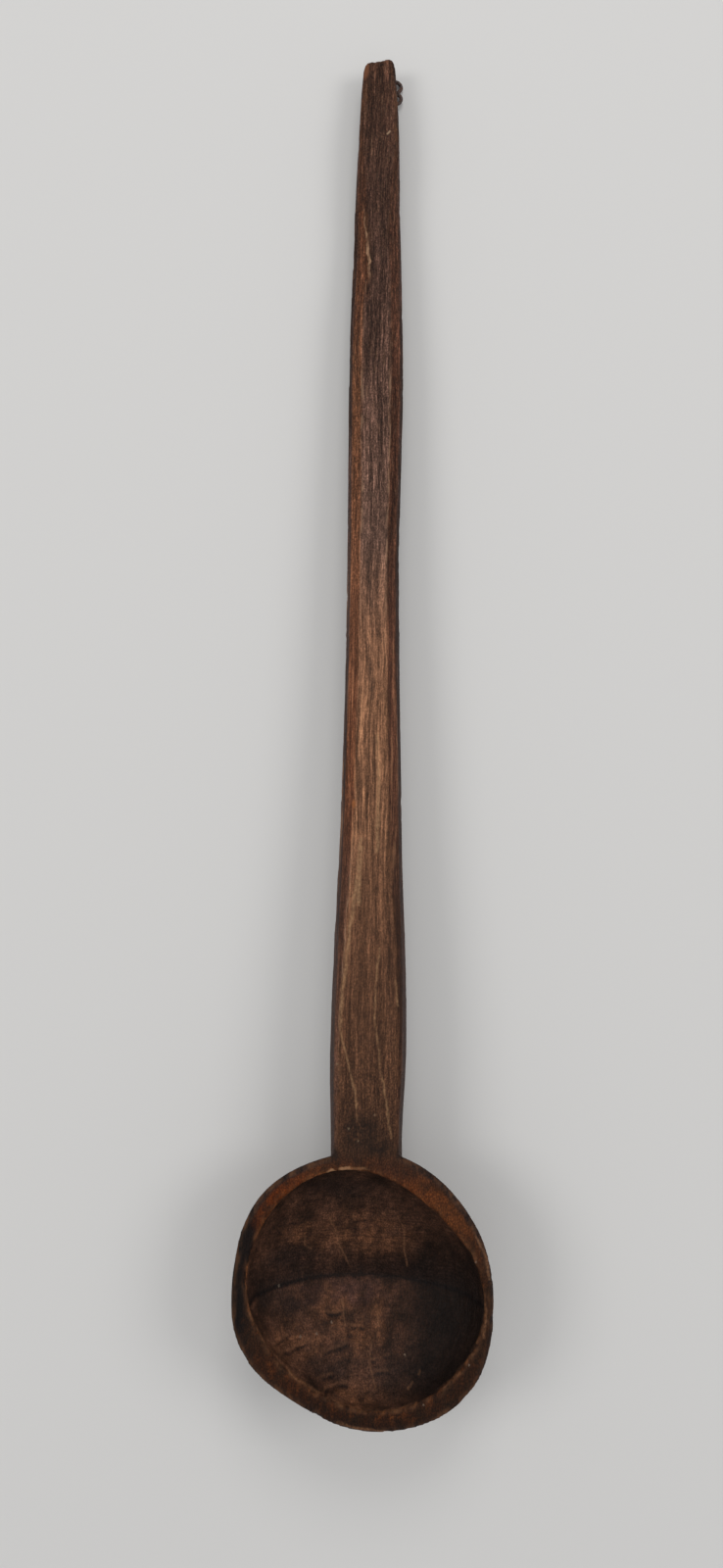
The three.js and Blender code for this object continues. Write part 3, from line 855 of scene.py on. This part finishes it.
def carved_wood():
    material, bench, shader = finish("dark_carved_wood", Specular_IOR_Level=WOOD_SHEEN)
    place = bench.group(own_axes)[0]
    grain = bench.group(long_grain, Place=place)
    wear = bench.group(edge_wear, Place=place)[0]
    dirt = bench.group(ground_in_dirt, Place=place)[0]
    y = bench.parts(place)[1]
    flat = bench.flattened(place)
    facing = bench.add("ShaderNodeAttribute", attribute_name="facing").outputs["Vector"]
    hollow = bench.add("ShaderNodeAttribute", attribute_name="hollow").outputs["Fac"]

    colour = bench.add("ShaderNodeAttribute", attribute_name="tone").outputs["Color"]
    colour = grained(bench, colour, grain, y, hollow)
    colour = weathered(bench, colour, place, y, facing)
    colour = bowl_marks(bench, colour, place, flat, facing, hollow)
    colour = handle_marks(bench, colour, place, flat, facing)
    colour = bench.blend(bench.product(dirt, 0.7), colour, GRIME)
    colour = bench.blend(bench.product(wear, 0.35), colour, tone(132, 88, 58))
    bench.put(colour, shader.inputs["Base Color"])

    dryness = bench.ramp(bench.fade(y, *ROUGH_HANDLE), 0.6, grain["Fine"])
    bench.put(bench.fade(dryness, 0, 1.6, 0.5, 0.85), shader.inputs["Roughness"])
    relief = bench.total(
        bench.product(grain["Fine"], bench.fade(y, 300, 520, 0.1, 0.4)),
        bench.product(grain["Narrow"], 0.2),
        bench.product(grain["Pores"], -0.2),
    )
    bump = bench.add("ShaderNodeBump", {"Height": relief, "Distance": MILLIMETRE, "Strength": 0.9})
    bench.put(bump.outputs[0], shader.inputs["Normal"])
    return material


def torn_wood():
    material, bench, shader = finish("torn_wood", Roughness=0.8, Specular_IOR_Level=WOOD_SHEEN)
    grain = bench.group(long_grain, Place=bench.group(own_axes)[0])
    colour = bench.blend(grain["Narrow"], tone(78, 54, 41), tone(142, 108, 84))
    bench.put(bench.tinted(colour, bench.fade(grain["Grit"], 0, 1, 0.75, 1.2)), shader.inputs["Base Color"])
    return material


def rusted_wire():
    material, bench, shader = finish("rusted_wire")
    place = bench.group(own_axes)[0]
    wear_and_highlight = bench.group(edge_wear, Place=place, Size=0.15)[0]
    crust = bench.group(ground_in_dirt, Place=place, Size=0.12)[0]
    rust = bench.fade(bench.noise(place, (1.6, 1.6, 1.6), 4, 0.65), 0.36, 0.6)
    colour = bench.blend(rust, tone(58, 51, 51), tone(84, 52, 37))
    colour = bench.blend(crust, colour, tone(46, 27, 19))
    colour = bench.blend(bench.product(wear_and_highlight, 0.5), colour, tone(104, 98, 96))
    bench.put(colour, shader.inputs["Base Color"])
    rust = bench.most(rust, crust)
    bench.put(bench.fade(rust, 0, 1, 0.6, 0.05), shader.inputs["Metallic"])
    bench.put(bench.fade(rust, 0, 1, 0.45, 0.85), shader.inputs["Roughness"])
    pits = bench.noise(place, (0.4, 0.4, 0.4), 3, 0.6)
    bump = bench.add("ShaderNodeBump", {"Height": bench.product(pits, 0.2), "Distance": MILLIMETRE})
    bench.put(bump.outputs[0], shader.inputs["Normal"])
    return material


# Pieces

def placed(name, data):
    thing = bpy.data.objects.new(name, data)
    bpy.context.scene.collection.objects.link(thing)
    return thing


def copy_of(node, name):
    """A copy of a CAD node with its loose triangles joined."""
    mesh = frame["nodes"][node].data.copy()
    mesh.materials.clear()
    shape = bmesh.new()
    shape.from_mesh(mesh)
    bmesh.ops.remove_doubles(shape, verts=shape.verts, dist=JOIN_DISTANCE)
    shape.to_mesh(mesh)
    shape.free()
    return placed(name, mesh)


def settle(piece, tree, values):
    """Runs a geometry tree on a piece and leaves the result as a plain mesh."""
    modifier = piece.modifiers.new(tree.name, "NODES")
    modifier.node_group = tree
    for item in tree.interface.items_tree:
        if item.in_out == "INPUT" and item.name in values:
            modifier[item.identifier] = values[item.name]
    bpy.context.view_layer.update()
    graph = bpy.context.evaluated_depsgraph_get()
    mesh = bpy.data.meshes.new_from_object(
        piece.evaluated_get(graph), preserve_all_data_layers=True, depsgraph=graph)
    piece.modifiers.clear()
    piece.data = mesh
    return piece


own_axes_given = {"Mouth middle": MOUTH_MIDDLE, "Lay down": LAY_DOWN}

spoon = copy_of("carved_spoon", "carved_wood")
skin = spoon.modifiers.new("even_skin", "REMESH")
skin.mode = "VOXEL"
skin.voxel_size = SKIN_VOXEL
settle(spoon, carving_tree(), {**own_axes_given, "Finish": carved_wood()})
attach(spoon, "spoon")
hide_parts("carved_spoon")

fibres = placed("loose_fibres", spoon.data)
settle(fibres, fibre_tree(), {**own_axes_given, "Finish": torn_wood()})
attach(fibres, "spoon")

pitting = rust_tree()
wire_finish = rusted_wire()
for node, name, body in (("loop_staple", "staple_wire", "spoon"), ("hanging_loop", "loop_wire", "loop")):
    wire = settle(copy_of(node, name), pitting, {"Finish": wire_finish})
    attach(wire, body)
    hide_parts(node)


# Camera and studio

def camera():
    data = bpy.data.cameras.new("camera")
    data.sensor_fit = "VERTICAL"
    data.lens = data.sensor_height * PICTURE_LENS / PICTURE_HEIGHT
    data.clip_end = CAMERA_REACH
    eye = placed("camera", data)
    turned = Matrix.Rotation(CAMERA_ROLL, 4, "Z") @ Matrix.Rotation(CAMERA_TILT, 4, "X")
    laid = Matrix.Rotation(-LAY_DOWN, 4, "X")
    eye.matrix_world = Matrix.Translation(TO_FRAME @ CAMERA_PLACE) @ laid @ turned
    bpy.context.scene.camera = eye


def lamp(name, place, power):
    data = bpy.data.lights.new(name, "AREA")
    data.shape = "DISK"
    data.size = LAMP_SIZE
    data.energy = power
    thing = placed(name, data)
    thing.location = place
    thing.rotation_euler = (-Vector(place)).to_track_quat("-Z", "Y").to_euler()


def pale_floor():
    """A plain floor just below the spoon, which grows paler with distance so that it ends in the sky."""
    mesh = bpy.data.meshes.new("floor")
    corners = [(-1, -1), (1, -1), (1, 1), (-1, 1)]
    points = [(x * FLOOR_REACH, y * FLOOR_REACH, -FLOOR_DROP) for x, y in corners]
    mesh.from_pydata(points, [], [(0, 1, 2, 3)])
    floor = placed("floor", mesh)
    material, bench, shader = finish("pale_floor", Roughness=0.9)
    away = bench.vector("LENGTH", bench.add("ShaderNodeTexCoord").outputs["Object"])
    colour = bench.blend(bench.fade(away, *FLOOR_PALES), tone(208, 206, 203), tone(253, 253, 253))
    bench.put(colour, shader.inputs["Base Color"])
    mesh.materials.append(material)


def soft_sky():
    world = bpy.data.worlds.new("soft_sky")
    world.use_nodes = True
    sky = next(n for n in world.node_tree.nodes if n.type == "BACKGROUND")
    sky.inputs["Color"].default_value = SKY_COLOUR
    sky.inputs["Strength"].default_value = SKY_STRENGTH
    bpy.context.scene.world = world


camera()
pale_floor()
soft_sky()
for name, (place, power) in LAMPS.items():
    lamp(name, place, power)
bpy.context.scene.view_settings.view_transform = "Standard"
